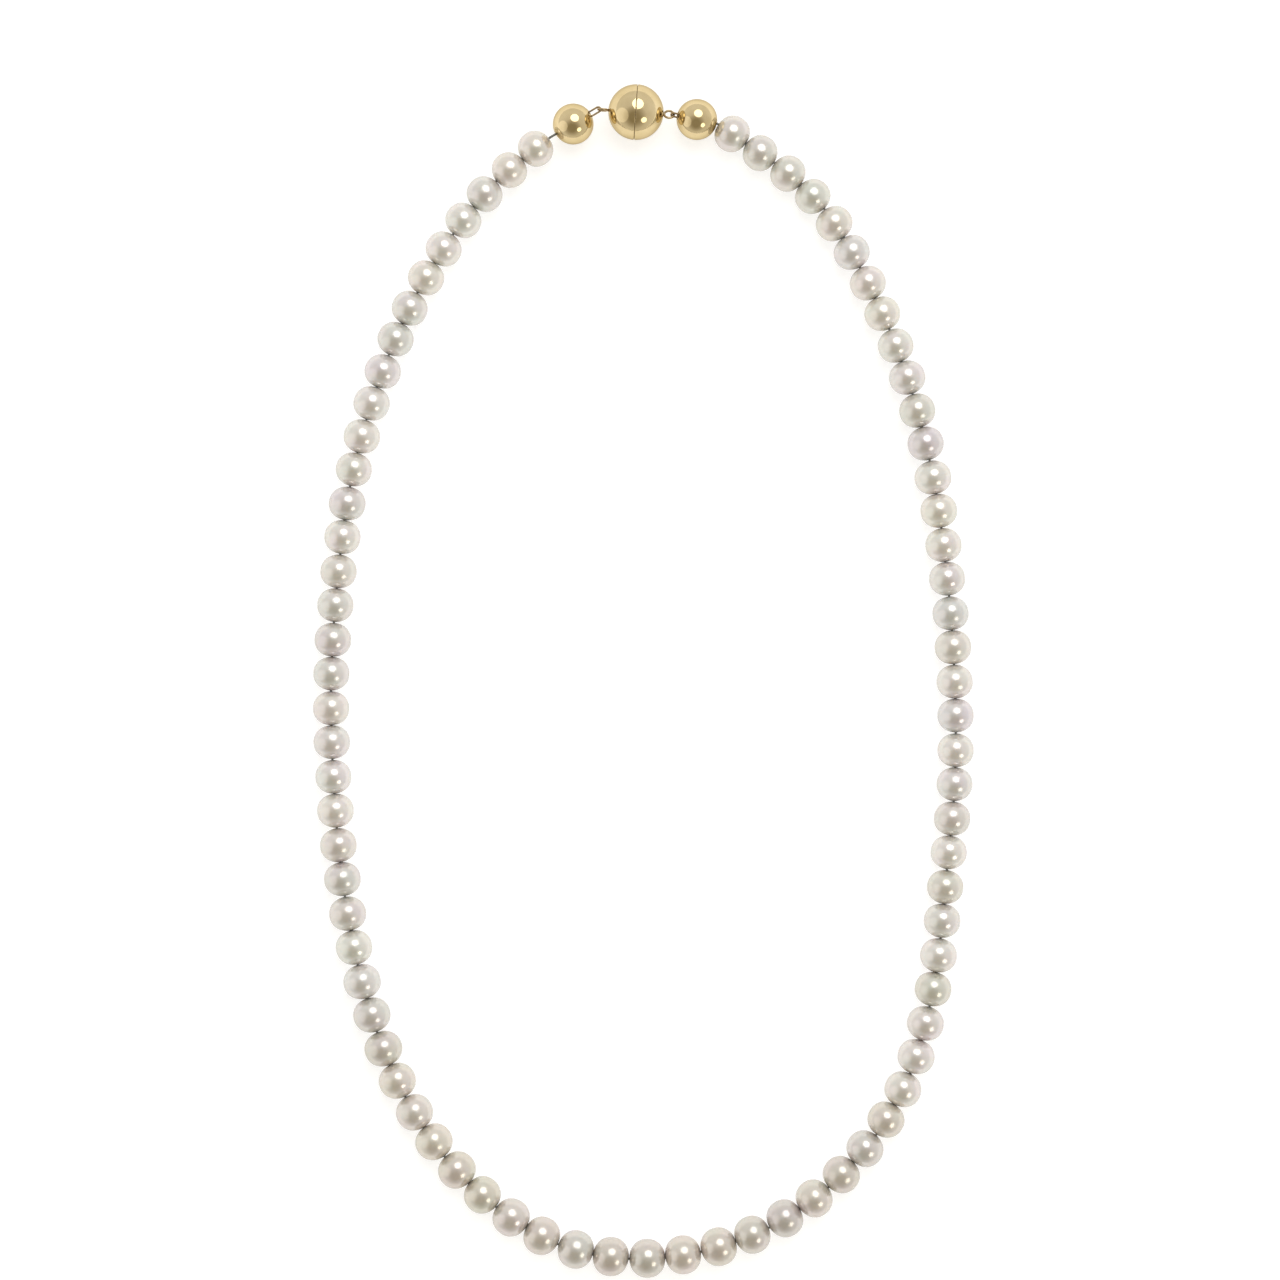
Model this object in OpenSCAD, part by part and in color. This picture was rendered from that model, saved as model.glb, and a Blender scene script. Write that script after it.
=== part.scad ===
// Single-strand pearl necklace, laid out flat and closed. Millimetres.
// Z points up from the table, Y points from the front of the necklace to its clasp,
// and the origin is on the table under the middle of the whole loop.

/* [Pearls] */
// Diameter of a side pearl across its drill hole
pearl_d = 7.7; // [7.5:0.1:8]
// Length of a side pearl along its drill hole
pearl_len = 7.05; // [6.9:0.05:7.3]
// How much larger both sizes are on the front pearl
front_extra = 0.45; // [0:0.05:0.6]
// Space on the wire between two pearls
pearl_gap = 0.26; // [0.2:0.02:0.4]
// Diameter of the drill hole
pearl_hole_d = 1.0; // [0.8:0.1:1.2]
// Diameter of the beading wire
wire_d = 0.5; // [0.4:0.05:0.6]

/* [Gold beads] */
// Diameter of a gold bead
bead_d = 8.7; // [8:0.1:9]
// Wall thickness of a gold bead
bead_wall = 0.35; // [0.25:0.05:0.5]
// Diameter of the hole in a gold bead
bead_hole_d = 1.8; // [1.7:0.1:2]
// Wire left bare between the left gold bead and its first pearl
bare_wire = 1.6; // [1.4:0.1:1.8]
// Space between the right gold bead and its first pearl
bead_gap = 0.35; // [0.3:0.05:0.6]

/* [Clasp] */
// Diameter of the ball clasp
clasp_d = 11.8; // [11.4:0.1:12]
// Wall thickness of the two half shells
shell_wall = 0.5; // [0.4:0.05:0.6]
// Width of the seam between the two halves
seam = 0.12; // [0.1:0.02:0.2]
// Angle between the clasp's axis and the X axis
clasp_turn = -4; // [-6:1:0]
// Turn of the left eye about the clasp's axis, 0 is upright
left_eye_turn = 0; // [0:5:20]
// Turn of the right eye about the clasp's axis, 0 is upright
right_eye_turn = 55; // [40:5:60]
// Thickness of the wire in an eye
eye_wire_d = 0.5; // [0.4:0.05:0.5]
// Radius of an eye, to the middle of its wire
eye_r = 1.0; // [0.9:0.05:1.1]
// Thickness of the covered wire in an end loop
loop_wire_d = 0.45; // [0.35:0.05:0.45]

/* [Hidden] */
ARM_PAIRS = 19;
ARMS = ["left", "right"];
function number(i) = str(i < 10 ? "0" : "", i);
THREADS = ["left_thread_2", "left_thread_1", "front_thread", "right_thread_1", "right_thread_2"];
$fn = 48;

// ---- The strand's route ----
// It starts at the left gold bead, goes down the left side, round the front and up the
// right side to the right gold bead. A smooth curve goes through these points.
ROUTE = [
    [-20, 116], [-34, 104], [-47, 85], [-56, 65], [-62, 44], [-65, 23], [-66.5, 1],
    [-66, -21], [-64, -43], [-59.5, -65.5], [-51.5, -87], [-38, -106], [-19, -119.5],
    [2, -123], [24.5, -117.5], [42.5, -105], [55.5, -87], [62, -65], [64.5, -43],
    [66.5, -21.5], [66.5, 0], [65, 21], [62, 43], [56.5, 64.5], [48, 85], [36, 104],
    [16, 119]];
SPANS = len(ROUTE) - 1;
STEPS = 12;

// One route point, with a mirrored point past each end
function route_point(i) =
    i < 0 ? 2 * ROUTE[0] - ROUTE[1] :
    i > SPANS ? 2 * ROUTE[SPANS] - ROUTE[SPANS - 1] :
    ROUTE[i];

// The curve at t, where whole values of t are the route points
function curve(t) =
    let (
        i = min(floor(t), SPANS - 1), f = t - i,
        a = route_point(i - 1), b = route_point(i),
        c = route_point(i + 1), d = route_point(i + 2))
    0.5 * (2 * b + (c - a) * f + (2 * a - 5 * b + 4 * c - d) * f^2 + (3 * b - a - 3 * c + d) * f^3);

SAMPLES = [for (k = [0:SPANS * STEPS]) curve(k / STEPS)];
LENGTHS = [
    for (k = 0, s = 0; k < len(SAMPLES); k = k + 1,
         s = s + (k < len(SAMPLES) ? norm(SAMPLES[k] - SAMPLES[k - 1]) : 0)) s];
T_BY_LENGTH = [for (k = [0:len(SAMPLES) - 1]) [LENGTHS[k], k / STEPS]];
route_len = LENGTHS[len(LENGTHS) - 1];

// Pearls grow gently towards the front one and are all alike beyond the front ones
pearls = 2 * (2 * ARM_PAIRS + 1);
FRONT_PEARL = 37;
FRONT_SPREAD = 18;
function extra(k) =
    let (a = 90 * (k - FRONT_PEARL) / FRONT_SPREAD) abs(a) < 90 ? front_extra * cos(a)^2 : 0;
function pitch(k) = pearl_len + extra(k) + pearl_gap;
GAPS = [for (k = 0, s = 0; k <= pearls; s = s + pitch(k), k = k + 1) s];
fit = GAPS[pearls] / route_len;

// The middle of the gap before pearl k, counted along the route
function gap_at(k) =
    let (p = fit * curve(lookup(GAPS[k] / fit, T_BY_LENGTH)))
    [p.x, p.y, (pearl_d + extra(k - 0.5)) / 2];

// The two pearls of a pair are number 2n and 2n + 1 along the route
function pair_index(arm, i) = ARM_PAIRS + (arm == "left" ? -i : i);

// ---- The clasp and the two ends of the strand ----
clasp_r = clasp_d / 2;
clasp_at = [-1.5 * fit, 121.2 * fit, clasp_r];
eye_neck = 0.15;
stem_d = 0.7;
stem_clear = 0.05;
head_d = 1.4;
head_len = 0.5;
slip = 0.02;
plate_len = 0.6;
magnet_d = 7;
magnet_len = 3;
loop_clear = 0.05;
crimp_d = 2.2;
crimp_len = 2;
crimp_socket = 0.8;

function side(arm) = arm == "left" ? -1 : 1;
function clasp_axis(arm) = side(arm) * [cos(clasp_turn), sin(clasp_turn), 0];

// The middle of the wire in the outer end of an eye, which the end loop goes round
eye_reach = clasp_r + eye_neck + 2 * eye_r;
function eye_end(arm) = clasp_at + eye_reach * clasp_axis(arm);
function strand_end(arm) = gap_at(arm == "left" ? 0 : pearls);
function along(arm) = let (v = strand_end(arm) - eye_end(arm)) v / norm(v);

// Distance from the strand's end to the middle of the gold bead
function bead_back(arm) = bead_d / 2 + (arm == "left" ? bare_wire : bead_gap);
function bead_at(arm) = strand_end(arm) - bead_back(arm) * along(arm);
function eye_to_bead(arm) = norm(bead_at(arm) - eye_end(arm));

// The direction of the wire in the outer end of an eye
function eye_up(arm) =
    let (a = arm == "left" ? left_eye_turn : right_eye_turn, c = clasp_axis(arm))
    cos(a) * [0, 0, 1] + sin(a) * cross(c, [0, 0, 1]);

// Puts +X on one direction and +Z as near as it goes to another, at a point
module frame_at(p, x, up) {
    y = cross(up, x) / norm(cross(up, x));
    z = cross(x, y);
    multmatrix([[x.x, y.x, z.x, p.x], [x.y, y.y, z.y, p.y], [x.z, y.z, z.z, p.z], [0, 0, 0, 1]])
        children();
}

module at_clasp(arm) { frame_at(clasp_at, clasp_axis(arm), eye_up(arm)) children(); }
module at_eye_end(arm) { frame_at(eye_end(arm), along(arm), eye_up(arm)) children(); }
module at_bead(arm) { frame_at(bead_at(arm), along(arm), eye_up(arm)) children(); }

// Turns a profile, drawn with x outwards and y along the axis, about the X axis
module lathe() { rotate([0, 90, 0]) rotate_extrude() children(); }

// A rod along X
module rod(from, to, d) { translate([from, 0, 0]) rotate([0, 90, 0]) cylinder(h = to - from, d = d); }

// ---- Pearls ----
// Half the outline of a slightly oblate pearl: a circle round its waist, trimmed by a
// wider circle at each end of its hole
CAP_BACK = 0.6;
module pearl_profile(d, len) {
    cap_r = len / 2 + CAP_BACK;
    difference() {
        intersection() {
            circle(d = d);
            translate([0, -CAP_BACK]) circle(r = cap_r);
            translate([0, CAP_BACK]) circle(r = cap_r);
        }
        translate([-d, -d]) square([d + pearl_hole_d / 2, 2 * d]);
    }
}

// A drilled pearl that lies between two neighbouring gaps of the strand
module pearl(k) {
    a = gap_at(k);
    b = gap_at(k + 1);
    frame_at((a + b) / 2, (b - a) / norm(b - a), [0, 0, 1])
        lathe() pearl_profile(pearl_d + extra(k), pearl_len + extra(k));
}

module pearl_pair(n) {
    color("seashell") for (k = [2 * n, 2 * n + 1]) pearl(k);
}

// ---- Beading wire ----
// It runs from crimp to crimp and bends in the middle of every gap. It is one flexible
// wire, made in five stretches that meet end to end inside these four pearls.
THREAD_CUTS = [15, 31, 46, 62];
LAST_THREAD = len(THREADS) - 1;
WIRE_SIDES = 8;

function wire_tip(arm) = bead_at(arm) + (crimp_len / 2 - crimp_socket + slip) * along(arm);

// The end of a stretch in the middle of pearl k, on one side or the other
function cut_end(k, way) =
    let (a = gap_at(k), b = gap_at(k + 1)) (a + b) / 2 + way * slip * (b - a) / norm(b - a);

function wire_path(s) = concat(
    [s == 0 ? wire_tip("left") : cut_end(THREAD_CUTS[s - 1], 1)],
    [for (k = [s == 0 ? 0 : THREAD_CUTS[s - 1] + 1 : s == LAST_THREAD ? pearls : THREAD_CUTS[s]])
        gap_at(k)],
    [s == LAST_THREAD ? wire_tip("right") : cut_end(THREAD_CUTS[s], -1)]);

// The ring of points round one point of the wire's path
function wire_ring(path, k) =
    let (
        v = path[min(k + 1, len(path) - 1)] - path[max(k - 1, 0)],
        x = v / norm(v),
        y = cross([0, 0, 1], x) / norm(cross([0, 0, 1], x)),
        z = cross(x, y))
    [for (i = [0:WIRE_SIDES - 1])
        let (a = 360 * i / WIRE_SIDES) path[k] + wire_d / 2 * (cos(a) * y + sin(a) * z)];

module thread(s) {
    path = wire_path(s);
    rings = len(path);
    points = [for (k = [0:rings - 1]) each wire_ring(path, k)];
    walls = [for (k = [0:rings - 2], i = [0:WIRE_SIDES - 1])
        let (a = k * WIRE_SIDES + i, b = k * WIRE_SIDES + (i + 1) % WIRE_SIDES)
        [a, a + WIRE_SIDES, b + WIRE_SIDES, b]];
    ends = [
        [for (i = [0:WIRE_SIDES - 1]) i],
        [for (i = [WIRE_SIDES - 1:-1:0]) (rings - 1) * WIRE_SIDES + i]];
    color("dimgray") polyhedron(points, concat(walls, ends));
}

// ---- Gold beads ----
module bead(arm) {
    color("goldenrod") at_bead(arm) difference() {
        sphere(d = bead_d);
        sphere(d = bead_d - 2 * bead_wall);
        rod(-bead_d, bead_d, bead_hole_d);
    }
}

// The crimp inside the gold bead grips the two legs of the end loop on one side and the
// beading wire on the other
loop_half = (eye_wire_d + loop_wire_d) / 2 + loop_clear;
module crimp(arm) {
    color("silver") at_bead(arm) difference() {
        rod(-crimp_len / 2, crimp_len / 2, crimp_d);
        for (y = [-loop_half, loop_half])
            translate([0, y, 0])
                rod(-crimp_len, -crimp_len / 2 + crimp_socket, loop_wire_d + 2 * slip);
        rod(crimp_len / 2 - crimp_socket, crimp_len, wire_d + 2 * slip);
    }
}

// The covered wire goes round the outer end of the eye, and both its legs run back
// through the hole of the gold bead to the crimp
module wire_loop(arm) {
    leg = eye_to_bead(arm) - crimp_len / 2 + crimp_socket - slip;
    color("gold") at_eye_end(arm) union() {
        rotate([0, 0, 90]) rotate_extrude(angle = 180) translate([loop_half, 0]) circle(d = loop_wire_d);
        for (y = [-loop_half, loop_half]) translate([0, y, 0]) rod(0, leg, loop_wire_d);
    }
}

// ---- Clasp ----
shell_in = clasp_r - shell_wall;
face_x = seam / 2;

module shell(arm) {
    color("gold") at_clasp(arm) difference() {
        lathe() intersection() {
            difference() {
                circle(r = clasp_r);
                circle(r = shell_in);
            }
            translate([0, face_x]) square(clasp_d);
        }
        rod(0, clasp_d, stem_d + 2 * stem_clear);
    }
}

module face_plate(arm) {
    plate_back = face_x + plate_len;
    plate_r = sqrt(shell_in^2 - plate_back^2) - slip;
    color("palegoldenrod") at_clasp(arm) rod(face_x + slip, plate_back, 2 * plate_r);
}

module magnet(arm) {
    from = face_x + plate_len + slip;
    color("lightgray") at_clasp(arm) rod(from, from + magnet_len, magnet_d);
}

// A round eye on a headed stem, which turns in the hole at the shell's pole
module eye(arm) {
    head_top = sqrt(shell_in^2 - (head_d / 2)^2) - stem_clear;
    ring_x = clasp_r + eye_neck + eye_r;
    color("gold") at_clasp(arm) union() {
        rod(head_top - head_len, head_top, head_d);
        rod(head_top - head_len / 2, ring_x - eye_r, stem_d);
        translate([ring_x, 0, 0]) rotate([90, 0, 0]) rotate_extrude()
            translate([eye_r, 0]) circle(d = eye_wire_d);
    }
}

// ---- The necklace ----
pearl_pair(pair_index("left", 0));  // front_pearls
for (arm = ARMS, i = [1:ARM_PAIRS])
    pearl_pair(pair_index(arm, i));
for (s = [0:LAST_THREAD]) thread(s);
for (arm = ARMS) {
    bead(arm);
    crimp(arm);
    wire_loop(arm);
    eye(arm);
    shell(arm);
    face_plate(arm);
    magnet(arm);
}
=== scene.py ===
"""A pearl necklace lying flat and closed: 78 drilled pearls on beading wire, two hollow gold
beads and a magnetic ball clasp in two halves. Shapes are worked out in millimetres, in the
frame of the CAD model, and every mesh is made in metres."""

import math

import bmesh
import bpy
import numpy as np
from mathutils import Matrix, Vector


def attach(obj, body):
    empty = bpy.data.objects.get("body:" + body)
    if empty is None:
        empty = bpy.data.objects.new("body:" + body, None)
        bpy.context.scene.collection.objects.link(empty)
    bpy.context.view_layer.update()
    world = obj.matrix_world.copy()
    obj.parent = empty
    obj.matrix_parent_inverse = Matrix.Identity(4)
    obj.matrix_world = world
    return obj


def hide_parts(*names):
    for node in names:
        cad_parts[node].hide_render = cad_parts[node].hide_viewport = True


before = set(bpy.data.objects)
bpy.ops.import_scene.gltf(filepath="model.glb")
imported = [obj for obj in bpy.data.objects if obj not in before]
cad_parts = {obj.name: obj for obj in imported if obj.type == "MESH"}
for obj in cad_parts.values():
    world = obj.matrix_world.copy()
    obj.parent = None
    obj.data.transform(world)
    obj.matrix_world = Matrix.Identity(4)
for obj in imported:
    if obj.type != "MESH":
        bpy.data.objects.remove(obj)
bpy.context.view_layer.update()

MM = 0.001
UP = np.array([0.0, 0.0, 1.0])
ARMS = ("left", "right")
ARM_PAIRS = 19

# ---- Sizes, as in the CAD model ----
PEARL_D, PEARL_LEN, FRONT_EXTRA, PEARL_GAP, PEARL_HOLE_R = 7.7, 7.05, 0.45, 0.26, 0.5
FRONT_PEARL, FRONT_SPREAD = 37, 18
WIRE_R = 0.25
BEAD_R, BEAD_WALL, BEAD_HOLE_R = 4.35, 0.35, 0.9
BARE_WIRE, BEAD_GAP = 1.6, 0.35
CLASP_R, SHELL_WALL, SEAM, CLASP_TURN = 5.9, 0.5, 0.12, math.radians(-4)
EYE_TURN = {"left": 0.0, "right": math.radians(55)}
EYE_WIRE_R, EYE_R, EYE_NECK = 0.25, 1.0, 0.15
STEM_R, STEM_CLEAR, HEAD_R, HEAD_LEN = 0.35, 0.05, 0.7, 0.5
PLATE_LEN, SLIP = 0.6, 0.02
LOOP_WIRE_R, LOOP_CLEAR = 0.225, 0.05
CRIMP_LEN, CRIMP_SOCKET = 2.0, 0.8

# ---- The strand's route ----
ROUTE = np.array([
    [-20, 116], [-34, 104], [-47, 85], [-56, 65], [-62, 44], [-65, 23], [-66.5, 1],
    [-66, -21], [-64, -43], [-59.5, -65.5], [-51.5, -87], [-38, -106], [-19, -119.5],
    [2, -123], [24.5, -117.5], [42.5, -105], [55.5, -87], [62, -65], [64.5, -43],
    [66.5, -21.5], [66.5, 0], [65, 21], [62, 43], [56.5, 64.5], [48, 85], [36, 104],
    [16, 119]], float)
SPANS, STEPS = len(ROUTE) - 1, 12
PADDED = np.vstack([2 * ROUTE[0] - ROUTE[1], ROUTE, 2 * ROUTE[-1] - ROUTE[-2]])


def curve(t):
    """The smooth curve through the route at t, where whole values are the route's points."""
    i = min(int(t), SPANS - 1)
    f, (a, b, c, d) = t - i, PADDED[i:i + 4]
    return 0.5 * (2 * b + (c - a) * f + (2 * a - 5 * b + 4 * c - d) * f**2
                  + (3 * b - a - 3 * c + d) * f**3)


def extra(k):
    """How much larger pearl k is than a side pearl."""
    a = math.pi / 2 * (k - FRONT_PEARL) / FRONT_SPREAD
    return FRONT_EXTRA * math.cos(a) ** 2 if abs(a) < math.pi / 2 else 0.0


PEARLS = 2 * (2 * ARM_PAIRS + 1)
ts = np.arange(SPANS * STEPS + 1) / STEPS
samples = np.array([curve(t) for t in ts])
lengths = np.r_[0, np.cumsum(np.linalg.norm(np.diff(samples, axis=0), axis=1))]
gaps_along = np.r_[0, np.cumsum([PEARL_LEN + extra(k) + PEARL_GAP for k in range(PEARLS)])]
fit = gaps_along[-1] / lengths[-1]


def gap_at(k):
    """The middle of the gap before pearl k, on the hole's line."""
    p = fit * curve(np.interp(gaps_along[k] / fit, lengths, ts))
    return np.array([p[0], p[1], (PEARL_D + extra(k - 0.5)) / 2])


GAPS = [gap_at(k) for k in range(PEARLS + 1)]


def unit(v):
    return v / np.linalg.norm(v)


def frame_at(p, x, up):
    """A 4x4 that puts +X on one direction and +Z as near as it goes to another, at a point."""
    x = unit(x)
    y = unit(np.cross(up, x))
    m = np.eye(4)
    m[:3, 0], m[:3, 1], m[:3, 2], m[:3, 3] = x, y, np.cross(x, y), p
    return m


def pair_body(k):
    """The CAD body that pearl k belongs to."""
    n = k // 2 - ARM_PAIRS
    return "front" if n == 0 else f"{'left' if n < 0 else 'right'}_{abs(n):02d}"


# ---- The clasp and the two ends of the strand ----
CLASP_AT = np.array([-1.5 * fit, 121.2 * fit, CLASP_R])
SIDE = {"left": -1, "right": 1}
AXIS = {a: SIDE[a] * np.array([math.cos(CLASP_TURN), math.sin(CLASP_TURN), 0]) for a in ARMS}
EYE_REACH = CLASP_R + EYE_NECK + 2 * EYE_R
EYE_END = {a: CLASP_AT + EYE_REACH * AXIS[a] for a in ARMS}
STRAND_END = {"left": GAPS[0], "right": GAPS[-1]}
ALONG = {a: unit(STRAND_END[a] - EYE_END[a]) for a in ARMS}
BEAD_AT = {
    a: STRAND_END[a] - (BEAD_R + (BARE_WIRE if a == "left" else BEAD_GAP)) * ALONG[a]
    for a in ARMS}
EYE_UP = {
    a: math.cos(EYE_TURN[a]) * UP + math.sin(EYE_TURN[a]) * np.cross(AXIS[a], UP) for a in ARMS}
AT_CLASP = {a: frame_at(CLASP_AT, AXIS[a], EYE_UP[a]) for a in ARMS}
AT_EYE_END = {a: frame_at(EYE_END[a], ALONG[a], EYE_UP[a]) for a in ARMS}
AT_BEAD = {a: frame_at(BEAD_AT[a], ALONG[a], EYE_UP[a]) for a in ARMS}
WIRE_TIP = {a: BEAD_AT[a] + (CRIMP_LEN / 2 - CRIMP_SOCKET + SLIP) * ALONG[a] for a in ARMS}


# ---- Mesh helpers. A shape is (points in millimetres, faces) ----
def grid_faces(rows, columns, wrap_rows, wrap_columns):
    """Quads of a grid of points, which may close on itself either way."""
    faces = []
    for i in range(rows if wrap_rows else rows - 1):
        for j in range(columns if wrap_columns else columns - 1):
            i2, j2 = (i + 1) % rows, (j + 1) % columns
            faces.append((i * columns + j, i2 * columns + j, i2 * columns + j2, i * columns + j2))
    return faces


def revolve(profile, sides):
    """A closed outline of (x, radius) points, clear of the X axis, turned about it."""
    profile = np.array(profile, float)
    a = np.linspace(0, 2 * math.pi, sides, endpoint=False)
    points = np.stack([
        np.repeat(profile[:, 0], sides),
        np.outer(profile[:, 1], np.cos(a)).ravel(),
        np.outer(profile[:, 1], np.sin(a)).ravel()], axis=1)
    return points, grid_faces(len(profile), sides, True, True)


def solid_turning(profile, sides):
    """An open outline of (x, radius) points turned about the X axis, closed by a flat fan at
    each end."""
    points, _ = revolve(profile, sides)
    rows = len(profile)
    faces = grid_faces(rows, sides, False, True)
    points = np.vstack([points, [profile[0][0], 0, 0], [profile[-1][0], 0, 0]])
    first, last = rows * sides, rows * sides + 1
    for j in range(sides):
        j2 = (j + 1) % sides
        faces.append((first, j, j2))
        faces.append((last, (rows - 1) * sides + j2, (rows - 1) * sides + j))
    return points, faces


def sweep(path, radius, sides, lobes=0, lobe_depth=0.0, turns_per_mm=0.0, up=UP):
    """A tube along a path, closed by a fan at each end. Its radius may differ from point to
    point, and its section may have lobes that wind round it, as the strands of a cable do."""
    path = np.array(path, float)
    radii = np.broadcast_to(radius, len(path))
    heading = np.gradient(path, axis=0)
    heading /= np.linalg.norm(heading, axis=1)[:, None]
    side = np.cross(up, heading[0])
    rings, travelled = [], 0.0
    a = np.linspace(0, 2 * math.pi, sides, endpoint=False)
    for k, (p, h, radius) in enumerate(zip(path, heading, radii)):
        side = unit(side - h * (side @ h))
        other = np.cross(h, side)
        if k:
            travelled += np.linalg.norm(p - path[k - 1])
        wound = a - 2 * math.pi * turns_per_mm * travelled
        r = radius - lobe_depth * (0.5 - 0.5 * np.cos(lobes * wound)) if lobes else radius
        r = np.broadcast_to(r, a.shape)
        rings.append(p + (r * np.cos(a))[:, None] * side + (r * np.sin(a))[:, None] * other)
    n = len(path)
    points = np.vstack([*rings, path[0], path[-1]])
    faces = grid_faces(n, sides, False, True)
    for j in range(sides):
        j2 = (j + 1) % sides
        faces.append((n * sides, j2, j))
        faces.append((n * sides + 1, (n - 1) * sides + j, (n - 1) * sides + j2))
    return points, faces


def moved(shape, m):
    """A shape placed by a 4x4."""
    points, faces = shape
    return points @ m[:3, :3].T + m[:3, 3], faces


def joined(*shapes):
    """Several shapes as one."""
    points, faces, offset = [], [], 0
    for p, f in shapes:
        points.append(p)
        faces += [tuple(i + offset for i in face) for face in f]
        offset += len(p)
    return np.vstack(points), faces


def arc(radius, start, end, steps):
    """Points of an arc about the origin as (x, radius) pairs, between two angles in degrees."""
    return [(radius * math.cos(t), radius * math.sin(t))
            for t in np.radians(np.linspace(start, end, steps + 1))]


def make(name, shape, material, body=None, replaces=()):
    """The object of a shape, with every face turned outward. It rides on the body, if one is
    given."""
    points, faces = shape
    mesh = bpy.data.meshes.new(name)
    mesh.from_pydata((points * MM).tolist(), [], faces)
    mesh.validate()
    outward = bmesh.new()
    outward.from_mesh(mesh)
    bmesh.ops.recalc_face_normals(outward, faces=outward.faces)
    outward.to_mesh(mesh)
    outward.free()
    mesh.shade_smooth()
    mesh.materials.append(material)
    obj = bpy.data.objects.new(name, mesh)
    bpy.context.scene.collection.objects.link(obj)
    if body:
        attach(obj, body)
    if replaces:
        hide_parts(*replaces)
    return obj


# ---- Materials ----
def new_material(name, **values):
    """A node material, with what its shader is set to all over."""
    material = bpy.data.materials.new(name)
    material.use_nodes = True
    tree = material.node_tree
    shader = next(n for n in tree.nodes if n.type == "BSDF_PRINCIPLED")
    for socket, value in values.items():
        shader.inputs[socket.replace("_", " ").title().replace("Ior", "IOR")].default_value = value
    return material, tree, shader


def noise(tree, scale, detail=2.0, roughness=0.5, stretch=None):
    """A noise texture over the piece's own coordinates. Scale is in features a metre."""
    coords = tree.nodes.new("ShaderNodeTexCoord")
    texture = tree.nodes.new("ShaderNodeTexNoise")
    texture.inputs["Scale"].default_value = scale
    texture.inputs["Detail"].default_value = detail
    texture.inputs["Roughness"].default_value = roughness
    source = coords.outputs["Object"]
    if stretch:
        mapping = tree.nodes.new("ShaderNodeMapping")
        mapping.inputs["Scale"].default_value = stretch
        tree.links.new(source, mapping.inputs["Vector"])
        source = mapping.outputs["Vector"]
    tree.links.new(source, texture.inputs["Vector"])
    return texture.outputs["Fac"]


def ramp(tree, source, *stops):
    """A colour ramp of (position, colour) stops."""
    node = tree.nodes.new("ShaderNodeValToRGB")
    elements = node.color_ramp.elements
    while len(elements) < len(stops):
        elements.new(0.5)
    for element, (position, colour) in zip(elements, stops):
        element.position = position
        element.color = (*colour, 1)
    tree.links.new(source, node.inputs["Fac"])
    return node.outputs["Color"]


def spread(tree, source, low, high):
    """Turns the middle half of a noise into values from low to high."""
    node = tree.nodes.new("ShaderNodeMapRange")
    for socket, value in (("From Min", 0.3), ("From Max", 0.7), ("To Min", low), ("To Max", high)):
        node.inputs[socket].default_value = value
    tree.links.new(source, node.inputs["Value"])
    return node.outputs["Result"]


def mix(tree, kind, factor, a, b):
    """Mixes two colours, each a socket or three numbers."""
    node = tree.nodes.new("ShaderNodeMix")
    node.data_type, node.blend_type = "RGBA", kind
    for socket, value in ((node.inputs[0], factor), (node.inputs[6], a), (node.inputs[7], b)):
        if isinstance(value, bpy.types.NodeSocket):
            tree.links.new(value, socket)
        else:
            socket.default_value = value if isinstance(value, float) else (*value, 1)
    return node.outputs[2]


def bump(tree, shader, height, strength, distance, normal=None):
    """Roughens the shader's surface, on top of another bump if its normal is given."""
    node = tree.nodes.new("ShaderNodeBump")
    node.inputs["Strength"].default_value = strength
    node.inputs["Distance"].default_value = distance
    tree.links.new(height, node.inputs["Height"])
    if normal:
        tree.links.new(normal, node.inputs["Normal"])
    tree.links.new(node.outputs["Normal"], shader.inputs["Normal"])
    return node.outputs["Normal"]


def nacre():
    """White nacre: a soft body colour with faint rose and green patches under a deep lustre."""
    material, tree, shader = new_material(
        "nacre", metallic=0.55, ior=1.6, coat_weight=0.22, coat_roughness=0.14, coat_ior=1.5,
        subsurface_weight=0.6, subsurface_scale=0.0015)
    shader.inputs["Subsurface Radius"].default_value = (1.0, 0.85, 0.7)
    shader.inputs["Specular Tint"].default_value = (0.70, 0.69, 0.67, 1)
    tint = tree.nodes.new("ShaderNodeAttribute")
    tint.attribute_name = "tint"
    patches = ramp(
        tree, noise(tree, 210, 1.5), (0.3, (0.77, 0.72, 0.71)), (0.5, (0.765, 0.735, 0.69)),
        (0.7, (0.74, 0.74, 0.69)))
    fine = ramp(tree, noise(tree, 900, 3.0), (0.3, (0.95, 0.95, 0.95)), (0.7, (1, 1, 1)))
    # The tint attribute holds each pearl's own depth of colour and also the painted shade that
    # darkens the front pearls
    colour = mix(tree, "MULTIPLY", 1.0, patches, tint.outputs["Color"])
    colour = mix(tree, "MULTIPLY", 0.7, colour, fine)
    tree.links.new(colour, shader.inputs["Base Color"])
    tree.links.new(spread(tree, noise(tree, 420, 2.0), 0.17, 0.25), shader.inputs["Roughness"])
    ripple = bump(tree, shader, noise(tree, 300, 1.0), 0.2, 0.00005)
    bump(tree, shader, noise(tree, 2600, 2.0), 0.08, 0.000008, ripple)
    return material


def polished_gold():
    """Pale yellow gold with a mirror polish, hairlines and the slight unevenness of thin metal."""
    material, tree, shader = new_material("polished_gold", metallic=1.0)
    colour = ramp(
        tree, noise(tree, 260, 2.0), (0.3, (0.64, 0.51, 0.275)), (0.7, (0.74, 0.60, 0.35)))
    shader.inputs["Specular Tint"].default_value = (0.64, 0.60, 0.52, 1)
    tree.links.new(colour, shader.inputs["Base Color"])
    hairlines = noise(tree, 900, 5.0, 0.7, stretch=(1, 6, 1))
    tree.links.new(spread(tree, hairlines, 0.05, 0.12), shader.inputs["Roughness"])
    waves = bump(tree, shader, noise(tree, 230, 1.0), 0.4, 0.00007)
    dents = bump(tree, shader, noise(tree, 750, 1.5), 0.3, 0.00002, waves)
    bump(tree, shader, hairlines, 0.08, 0.000008, dents)
    return material


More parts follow.
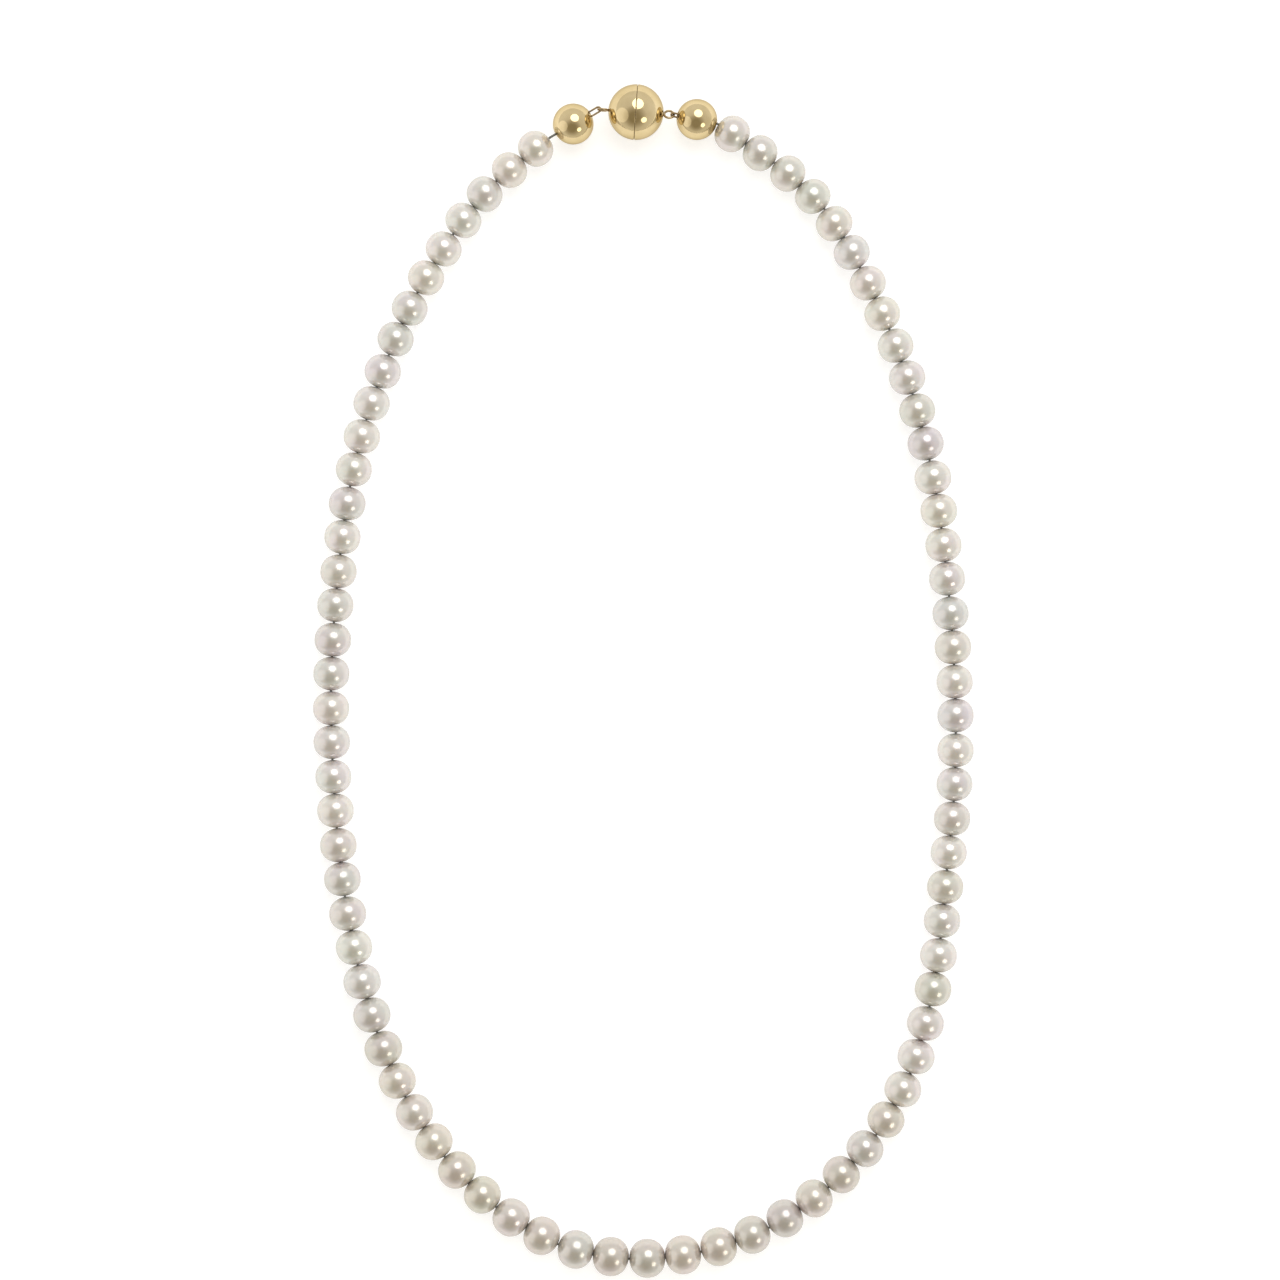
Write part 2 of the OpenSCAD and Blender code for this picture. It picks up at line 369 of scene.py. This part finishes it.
def drawn_gold():
    """The fine wire of the eyes and the covering of the loops, softer than the polished parts."""
    material, tree, shader = new_material("drawn_gold", metallic=1.0)
    colour = ramp(
        tree, noise(tree, 1500, 2.0), (0.3, (0.34, 0.25, 0.13)), (0.7, (0.56, 0.43, 0.26)))
    tree.links.new(colour, shader.inputs["Base Color"])
    tree.links.new(spread(tree, noise(tree, 3000, 3.0), 0.16, 0.3), shader.inputs["Roughness"])
    bump(tree, shader, noise(tree, 6000, 2.0), 0.15, 0.00001)
    return material


def satin_gold():
    """Turned and lapped metal, with fine marks round the clasp's axis."""
    material, tree, shader = new_material("satin_gold", metallic=1.0)
    colour = ramp(
        tree, noise(tree, 500, 3.0), (0.3, (0.76, 0.62, 0.38)), (0.7, (0.84, 0.70, 0.45)))
    tree.links.new(colour, shader.inputs["Base Color"])
    coords = tree.nodes.new("ShaderNodeTexCoord")
    move = tree.nodes.new("ShaderNodeMapping")
    move.inputs["Location"].default_value = tuple(-CLASP_AT * MM)
    rings = tree.nodes.new("ShaderNodeTexWave")
    rings.wave_type, rings.rings_direction = "RINGS", "SPHERICAL"
    rings.inputs["Scale"].default_value = 1200
    rings.inputs["Distortion"].default_value = 1.5
    tree.links.new(coords.outputs["Object"], move.inputs["Vector"])
    tree.links.new(move.outputs["Vector"], rings.inputs["Vector"])
    tree.links.new(spread(tree, rings.outputs["Fac"], 0.25, 0.4), shader.inputs["Roughness"])
    bump(tree, shader, rings.outputs["Fac"], 0.2, 0.00001)
    return material


def coated_wire():
    """Dark steel strands under a thin clear coat."""
    material, tree, shader = new_material(
        "coated_wire", metallic=0.7, coat_weight=0.6, coat_roughness=0.2)
    colour = ramp(
        tree, noise(tree, 2500, 2.0), (0.3, (0.12, 0.12, 0.11)), (0.7, (0.25, 0.25, 0.23)))
    tree.links.new(colour, shader.inputs["Base Color"])
    tree.links.new(spread(tree, noise(tree, 4000, 2.0), 0.3, 0.45), shader.inputs["Roughness"])
    return material


def nickel():
    """Bright plating with a few cloudy spots."""
    material, tree, shader = new_material("nickel", metallic=1.0)
    colour = ramp(
        tree, noise(tree, 700, 3.0), (0.35, (0.60, 0.60, 0.61)), (0.65, (0.73, 0.73, 0.74)))
    tree.links.new(colour, shader.inputs["Base Color"])
    tree.links.new(spread(tree, noise(tree, 1500, 4.0), 0.14, 0.3), shader.inputs["Roughness"])
    bump(tree, shader, noise(tree, 2500, 3.0), 0.1, 0.00001)
    return material


def table_top():
    """A plain white surface, lit from within so that shadows on it stay faint."""
    material, tree, shader = new_material("table_top", roughness=0.6)
    colour = ramp(tree, noise(tree, 3, 3.0), (0.3, (0.62, 0.62, 0.62)), (0.7, (0.64, 0.64, 0.64)))
    tree.links.new(colour, shader.inputs["Base Color"])
    shader.inputs["Specular IOR Level"].default_value = 0.1
    shader.inputs["Emission Color"].default_value = (1, 1, 1, 1)
    shader.inputs["Emission Strength"].default_value = 0.6
    return material


NACRE, GOLD, DRAWN, SATIN = nacre(), polished_gold(), drawn_gold(), satin_gold()
WIRE, NICKEL = coated_wire(), nickel()

# ---- Pearls ----
PEARL_SIDES, PEARL_ROWS = 64, 44
HOLE_EDGE = 0.06
PAIR_FILL, SWING_FILL, LIFT_FILL = (0.12, 2.15), (0.08, 2.1), (0.045, 2.1)
SIZE_CHANGE = (-0.004, 0.018)
SWELLS_EACH, SWELLS = 2, ((2, 0.045), (3, 0.03), (4, 0.015))
HOLE_FADE = 1.2
RING_DEPTH, RING_START, RING_FADE, RING_WAVES = 0.006, (0.72, 0.9), 0.08, 60
DEPTH = (0.91, 1.02)
WARM_TINT, ROSE_TINT = np.array([0.01, 0, -0.04]), np.array([0, -0.015, 0])
# Painted shade: the front pearls' colour is darkened and warmed, standing in for light falling off
# towards the front
FRONT_PAINTED_SHADE = np.array([-0.12, -0.14, -0.175])
rng = np.random.default_rng(7)


def pearl_end(half_len, radius, fullness):
    """Half the outline of one end of a drilled pearl, from the middle of its hole to its girth.
    A fullness of 2 makes an ellipse, and more makes a blunter end. The hole's edge is softened."""
    lip = PEARL_HOLE_R + HOLE_EDGE
    start = math.asin((lip / radius) ** (fullness / 2))
    outer = [(half_len * math.cos(t) ** (2 / fullness), radius * math.sin(t) ** (2 / fullness))
             for t in np.linspace(start, math.pi / 2, PEARL_ROWS // 2 + 1)]
    x = outer[0][0]
    turn = [(x - HOLE_EDGE + HOLE_EDGE * math.cos(t), lip - HOLE_EDGE * math.sin(t))
            for t in np.radians([90, 60, 30])]
    wall = [(s * x, PEARL_HOLE_R) for s in (0, 0.4, 0.8)]
    return [*wall, *turn, *outer]


def pearl_outline(half_len, radius, back, front):
    """The closed outline of half a drilled pearl, with the fullness of its two ends."""
    far = pearl_end(half_len, radius, front)
    near = pearl_end(half_len, radius, back)
    return [*far, *((-x, r) for x, r in near[-2:0:-1])]


def fill(g):
    """How far a pearl reaches into gap g beyond the CAD model's pearl, and how full it is there.
    Within a pair the gap all but closes, and at a hinge it stays as wide as its bend needs."""
    if g % 2:
        return PAIR_FILL
    hinge = (ARM_PAIRS * 2 + 2 - g) // 2 if g < PEARLS / 2 else (g - ARM_PAIRS * 2) // 2
    return SWING_FILL if hinge % 2 else LIFT_FILL


def uneven(points):
    """A pearl's points, swollen a little in random directions, with faint rings by its holes. Its
    hole stays round."""
    n = points / np.linalg.norm(points, axis=1)[:, None]
    outside = np.clip((np.linalg.norm(points[:, 1:], axis=1) - PEARL_HOLE_R) / HOLE_FADE, 0, 1)
    swell = np.zeros(len(points))
    for power, most in SWELLS:
        for _ in range(SWELLS_EACH):
            along = unit(rng.normal(size=3))
            swell += rng.uniform(-most, most) * (n @ along) ** power
    rings, where = rng.uniform(0, RING_DEPTH), rng.uniform(*RING_START)
    towards_hole = np.clip(np.abs(n[:, 0]), 0, 1)
    near_hole = np.clip((towards_hole - where) / RING_FADE, 0, 1)
    swell += rings * near_hole * np.cos(RING_WAVES * np.arccos(towards_hole))
    return points + (swell * outside)[:, None] * n


def tint_pearl(obj, k):
    """Gives a pearl its own depth of colour. The front pearls also get painted shade: their colour
    is made darker and warmer, as if the light fell off towards the front.
    """
    warmth, depth = rng.uniform(-1, 1), rng.uniform(*DEPTH)
    rose, front = rng.uniform(-1, 1), extra(k) / FRONT_EXTRA
    tint = depth * (1 + warmth * WARM_TINT + rose * ROSE_TINT) * (1 + front * FRONT_PAINTED_SHADE)
    layer = obj.data.attributes.new("tint", "FLOAT_COLOR", "POINT")
    layer.data.foreach_set("color", np.tile([*np.minimum(tint, 1), 1], len(obj.data.vertices)))


def pearl(k):
    """Pearl k, which is a little out of round in its own way."""
    a, b = GAPS[k], GAPS[k + 1]
    size = 1 + rng.uniform(*SIZE_CHANGE)
    (reach_a, full_a), (reach_b, full_b) = fill(k), fill(k + 1)
    half_len = (PEARL_LEN + extra(k) + reach_a + reach_b) / 2
    radius = size * (PEARL_D + extra(k)) / 2
    points, faces = revolve(pearl_outline(half_len, radius, full_a, full_b), PEARL_SIDES)
    centre = (a + b) / 2 + (reach_b - reach_a) / 2 * unit(b - a)
    shape = moved((uneven(points), faces), frame_at(centre, b - a, UP))
    body = pair_body(k)
    obj = make(f"pearl_{k + 1:02d}", shape, NACRE, body)
    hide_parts("front_pearls" if body == "front" else body.replace("_", "_pearls_"))
    tint_pearl(obj, k)


for k in range(PEARLS):
    pearl(k)

# ---- Beading wire, in a piece for each pair of pearls ----
WIRE_SIDES, WIRE_LOBES, LOBE_DEPTH, TURNS_PER_MM = 24, 6, 0.035, 0.35
COATING, BEND_REACH, BEND_SHARE = 0.02, 0.35, 0.45
STRAIGHT_STEPS, BEND_STEPS, BALL_LEAN = 12, 8, np.radians([80, 60, 40, 20])
THREAD_OF = {
    "front": "front_thread", "left_08": "left_thread_1", "left_16": "left_thread_2",
    "right_08": "right_thread_1", "right_16": "right_thread_2"}
HINGE_AT = {
    arm: STRAND_END[arm] - (BARE_WIRE if arm == "left" else BEAD_GAP) / 2 * ALONG[arm]
    for arm in ARMS}


def rounded_route(corners):
    """Points along straight stretches, with each inner corner rounded off."""
    route, start = [], corners[0]
    for before, at, after in zip(corners, corners[1:], corners[2:]):
        shorter = min(np.linalg.norm(at - before), np.linalg.norm(after - at))
        reach = min(BEND_REACH, BEND_SHARE * shorter)
        leave, rejoin = at + reach * unit(before - at), at + reach * unit(after - at)
        route += [start + s * (leave - start)
                  for s in np.linspace(0, 1, STRAIGHT_STEPS, endpoint=False)]
        route += [(1 - s) ** 2 * leave + 2 * s * (1 - s) * at + s**2 * rejoin
                  for s in np.linspace(0, 1, BEND_STEPS, endpoint=False)]
        start = rejoin
    last = [start + s * (corners[-1] - start) for s in np.linspace(0, 1, STRAIGHT_STEPS + 1)]
    return [*route, *last]


def wire_piece(name, corners, body, replaces=()):
    """A stretch of wire. Each end is half a ball about a hinge, so that it stays joined to the
    next stretch at any angle."""
    route, radius = rounded_route(corners), WIRE_R + COATING
    first, last = unit(route[0] - route[1]), unit(route[-1] - route[-2])
    path = [*(route[0] + radius * math.sin(a) * first for a in BALL_LEAN), *route,
            *(route[-1] + radius * math.sin(a) * last for a in BALL_LEAN[::-1])]
    ball = radius * np.cos(BALL_LEAN)
    radii = np.r_[ball, np.full(len(route), radius), ball[::-1]]
    shape = sweep(path, radii, WIRE_SIDES, WIRE_LOBES, LOBE_DEPTH, TURNS_PER_MM)
    make(name, shape, WIRE, body, replaces)


for n in range(PEARLS // 2):
    body = pair_body(2 * n)
    corners = GAPS[2 * n:2 * n + 3]
    if n == 0:
        corners = [HINGE_AT["left"], *corners]
    if n == PEARLS // 2 - 1:
        corners = [*corners, HINGE_AT["right"]]
    wire_piece(f"wire_{n + 1:02d}", corners, body, [THREAD_OF[body]] if body in THREAD_OF else ())

for arm in ARMS:
    wire_piece(f"{arm}_end_wire", [HINGE_AT[arm], WIRE_TIP[arm]], f"{arm}_end")

# ---- Gold beads, end loops, eyes and the ball clasp ----
GOLD_SIDES = 96
BEAD_LIP, SHELL_LIP, RIM_SOFT, THROAT = 0.12, 0.06, 0.07, (0.06, 0.05)
PLATE_PROUD, PLATE_LIP, PLATE_MIDDLE = 0.015, 0.28, 0.2
GROOVE_AT, GROOVE_DEPTH = 0.7, 0.06


def ball_outline(radius, wall, hole_r, start_x=None, lip=BEAD_LIP):
    """The outline of a hollow ball with a rolled edge at each hole. With start_x it is one half,
    which starts there with a softened edge."""
    inner_r = radius - wall
    top = math.degrees(math.asin((hole_r + lip) / radius))
    top_in = math.degrees(math.asin((hole_r + lip) / inner_r))
    pole_x = radius * math.cos(math.radians(top))
    pole_in = inner_r * math.cos(math.radians(top_in))
    roll = [(pole_x - lip + lip * math.cos(t), hole_r + lip - lip * math.sin(t))
            for t in np.radians([30, 60, 90])]
    roll += [(pole_in, hole_r), (pole_in - THROAT[0], hole_r + THROAT[1])]
    if start_x is None:
        outer = arc(radius, 180 - top, top, 60)
        inner = arc(inner_r, top_in + 2, 178 - top_in, 48)
        return [*outer, *roll, *inner, *[(-x, r) for x, r in reversed(roll)]]
    low = math.degrees(math.acos((start_x + RIM_SOFT) / radius))
    low_in = math.degrees(math.acos(start_x / inner_r))
    rim = math.sin(math.radians(low)) * radius
    edge = [(start_x, rim - RIM_SOFT - 0.02), (start_x + 0.01, rim - RIM_SOFT / 2),
            (start_x + RIM_SOFT / 2, rim - 0.01)]
    outer = arc(radius, low, top, 40)
    inner = arc(inner_r, top_in + 2, low_in, 32)
    return [*edge, *outer, *roll, *inner]


def gold_bead(arm):
    """A hollow bead, drilled right through."""
    shape = revolve(ball_outline(BEAD_R, BEAD_WALL, BEAD_HOLE_R), GOLD_SIDES)
    make(f"{arm}_gold_bead", moved(shape, AT_BEAD[arm]), GOLD, f"{arm}_bead",
         [f"{arm}_bead"])


def shell(arm):
    """Half of the clasp's hollow ball, with a hole at its pole for the eye's stem."""
    outline = ball_outline(CLASP_R, SHELL_WALL, STEM_R + STEM_CLEAR, SEAM / 2, SHELL_LIP)
    shape = revolve(outline, GOLD_SIDES)
    make(f"{arm}_half_ball", moved(shape, AT_CLASP[arm]), GOLD, f"{arm}_clasp_half",
         [f"{arm}_shell"])


def face_plate(arm):
    """A flat disc with a softened rim and a shallow turned groove. It stands a little proud, and
    its thin lip covers the edge of the shell, so nothing shows through the seam."""
    front, behind_lip, back = PLATE_PROUD, SEAM / 2 - 0.01, SEAM / 2 + PLATE_LEN
    shell_in, lip, deep = CLASP_R - SHELL_WALL, CLASP_R - PLATE_LIP, PLATE_PROUD + GROOVE_DEPTH
    r, soft, groove = math.sqrt(shell_in**2 - back**2) - SLIP, 0.08, GROOVE_AT * shell_in
    outline = [
        (front, PLATE_MIDDLE), (front, groove - 2 * GROOVE_DEPTH), (deep, groove - GROOVE_DEPTH),
        (deep, groove), (front, groove + GROOVE_DEPTH), (front, lip - 0.02), (front + 0.01, lip),
        (behind_lip, lip), (behind_lip, r), (back - soft, r), (back - 0.025, r - 0.025),
        (back, r - soft), (back, PLATE_MIDDLE)]
    make(f"{arm}_plate", moved(solid_turning(outline, GOLD_SIDES), AT_CLASP[arm]), SATIN,
         f"{arm}_clasp_half", [f"{arm}_face_plate"])


def eye(arm):
    """A round eye on a headed stem, with a small fillet where they meet."""
    shell_in = CLASP_R - SHELL_WALL
    head_top = math.sqrt(shell_in**2 - HEAD_R**2) - STEM_CLEAR
    ring_x = CLASP_R + EYE_NECK + EYE_R
    t = np.linspace(0, 2 * math.pi, 64, endpoint=False)
    s = np.linspace(0, 2 * math.pi, 20, endpoint=False)
    ring = np.array([
        (ring_x + (EYE_R + EYE_WIRE_R * math.cos(v)) * math.cos(u), EYE_WIRE_R * math.sin(v),
         (EYE_R + EYE_WIRE_R * math.cos(v)) * math.sin(u)) for u in t for v in s])
    low, neck = head_top - HEAD_LEN, ring_x - EYE_R
    stem = [(low, HEAD_R - 0.08), (low + 0.08, HEAD_R), (head_top - 0.08, HEAD_R),
            (head_top, HEAD_R - 0.08), (head_top, STEM_R + 0.03), (head_top + 0.05, STEM_R),
            (neck - 0.35, STEM_R), (neck - 0.1, STEM_R - 0.03), (neck + 0.05, STEM_R - 0.12)]
    shape = joined((ring, grid_faces(len(t), len(s), True, True)), solid_turning(stem, 32))
    make(f"{arm}_clasp_eye", moved(shape, AT_CLASP[arm]), DRAWN, f"{arm}_eye",
         [f"{arm}_eye"])


def end_loop(arm):
    """Wire under a close coil of finer gold wire, round the eye and back through the bead."""
    half = EYE_WIRE_R + LOOP_WIRE_R + LOOP_CLEAR
    leg = np.linalg.norm(BEAD_AT[arm] - EYE_END[arm]) - CRIMP_LEN / 2 + CRIMP_SOCKET - SLIP
    bend, coil_r, strand_r, pitch, per_turn = math.pi * half, 0.175, 0.05, 0.105, 12

    def centre(s):
        """The loop's centre line at s, and the way out from it, in the loop's own plane."""
        if s < leg:
            return (leg - s, half, 0), (0, 1, 0)
        if s > leg + bend:
            return (s - leg - bend, -half, 0), (0, -1, 0)
        a = math.pi / 2 + math.pi * (s - leg) / bend
        return (half * math.cos(a), half * math.sin(a), 0), (math.cos(a), math.sin(a), 0)

    whole = 2 * leg + bend
    core = sweep([centre(s)[0] for s in np.linspace(0, whole, 90)], coil_r - 0.03, 12)
    steps = int(whole / pitch * per_turn)
    path = []
    for i in range(steps + 1):
        s = whole * i / steps
        a = 2 * math.pi * i / per_turn
        p, out = (np.array(v, float) for v in centre(s))
        path.append(p + coil_r * (math.cos(a) * out + math.sin(a) * UP))
    coil = sweep(path, strand_r, 6)
    make(f"{arm}_covered_loop", moved(joined(core, coil), AT_EYE_END[arm]), DRAWN,
         f"{arm}_end", [f"{arm}_wire_loop"])


for arm in ARMS:
    gold_bead(arm)
    shell(arm)
    face_plate(arm)
    eye(arm)
    end_loop(arm)
    for node, material in ((f"{arm}_crimp", SATIN), (f"{arm}_magnet", NICKEL)):
        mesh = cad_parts[node].data
        mesh.materials.clear()
        mesh.materials.append(material)

# ---- The table, the light and the camera ----
FLOOR_HALF, FLOOR_Z = 4.0, -0.00005
floor_mesh = bpy.data.meshes.new("table")
floor_mesh.from_pydata(
    [(x * FLOOR_HALF, y * FLOOR_HALF, FLOOR_Z) for x, y in ((-1, -1), (1, -1), (1, 1), (-1, 1))],
    [], [(0, 1, 2, 3)])
floor_mesh.materials.append(table_top())
floor = bpy.data.objects.new("table", floor_mesh)
bpy.context.scene.collection.objects.link(floor)


LIGHT_DISTANCE = 1.1


def soft_light(name, azimuth, from_vertical, size, radiance, colour=(1, 1, 1)):
    """A soft elliptical light that points at the necklace. Azimuth is from +X, anticlockwise. Its
    power is pi times its area for each unit of radiance."""
    data = bpy.data.lights.new(name, "AREA")
    data.shape, (data.size, data.size_y) = "ELLIPSE", size
    data.energy = radiance * math.pi * math.pi * size[0] * size[1] / 4
    data.color = colour
    obj = bpy.data.objects.new(name, data)
    a, e = math.radians(azimuth), math.radians(from_vertical)
    way = Vector((math.sin(e) * math.cos(a), math.sin(e) * math.sin(a), math.cos(e)))
    obj.location = way * LIGHT_DISTANCE
    obj.rotation_mode = "QUATERNION"
    obj.rotation_quaternion = way.to_track_quat("Z", "Y")
    bpy.context.scene.collection.objects.link(obj)


soft_light("key", 76, 33, (0.85, 0.85), 1.9)
soft_light("side", 190, 63, (1.1, 1.25), 0.34, (1.0, 0.98, 0.96))
soft_light("small", -43, 50, (0.46, 0.46), 2.1, (1.0, 0.95, 0.84))

# The sky is darkest one way, above and a little in front, as the pearls reflect it
DARKEST_WAY = np.array([-0.1, -0.5, 0.86])
SKY = ((0.0, (0.90, 0.89, 0.88)), (0.62, (0.76, 0.74, 0.71)), (0.94, (0.34, 0.30, 0.22)))
world = bpy.data.worlds.new("studio")
bpy.context.scene.world = world
world.use_nodes = True
nodes, links = world.node_tree.nodes, world.node_tree.links
background = next(n for n in nodes if n.type == "BACKGROUND")
coords = nodes.new("ShaderNodeTexCoord")
toward = nodes.new("ShaderNodeVectorMath")
toward.operation = "DOT_PRODUCT"
toward.inputs[1].default_value = tuple(unit(DARKEST_WAY))
links.new(coords.outputs["Generated"], toward.inputs[0])
sky = nodes.new("ShaderNodeValToRGB")
stops = sky.color_ramp.elements
stops.new(0.5)
for stop, (position, colour) in zip(stops, SKY):
    stop.position, stop.color = position, (*colour, 1)
links.new(toward.outputs["Value"], sky.inputs["Fac"])
links.new(sky.outputs["Color"], background.inputs["Color"])
background.inputs["Strength"].default_value = 1.0

LENS, SENSOR, PICTURE_WIDTH, FOCUS_Z = 100.0, 36.0, 0.2730, 0.004
CAMERA_X, CAMERA_Y = -0.00064, 0.00893
camera_data = bpy.data.cameras.new("camera")
camera_data.lens, camera_data.sensor_width = LENS, SENSOR
camera = bpy.data.objects.new("camera", camera_data)
camera.location = (CAMERA_X, CAMERA_Y, FOCUS_Z + PICTURE_WIDTH * LENS / SENSOR)
bpy.context.scene.collection.objects.link(camera)
bpy.context.scene.camera = camera
bpy.context.scene.view_settings.view_transform = "Standard"
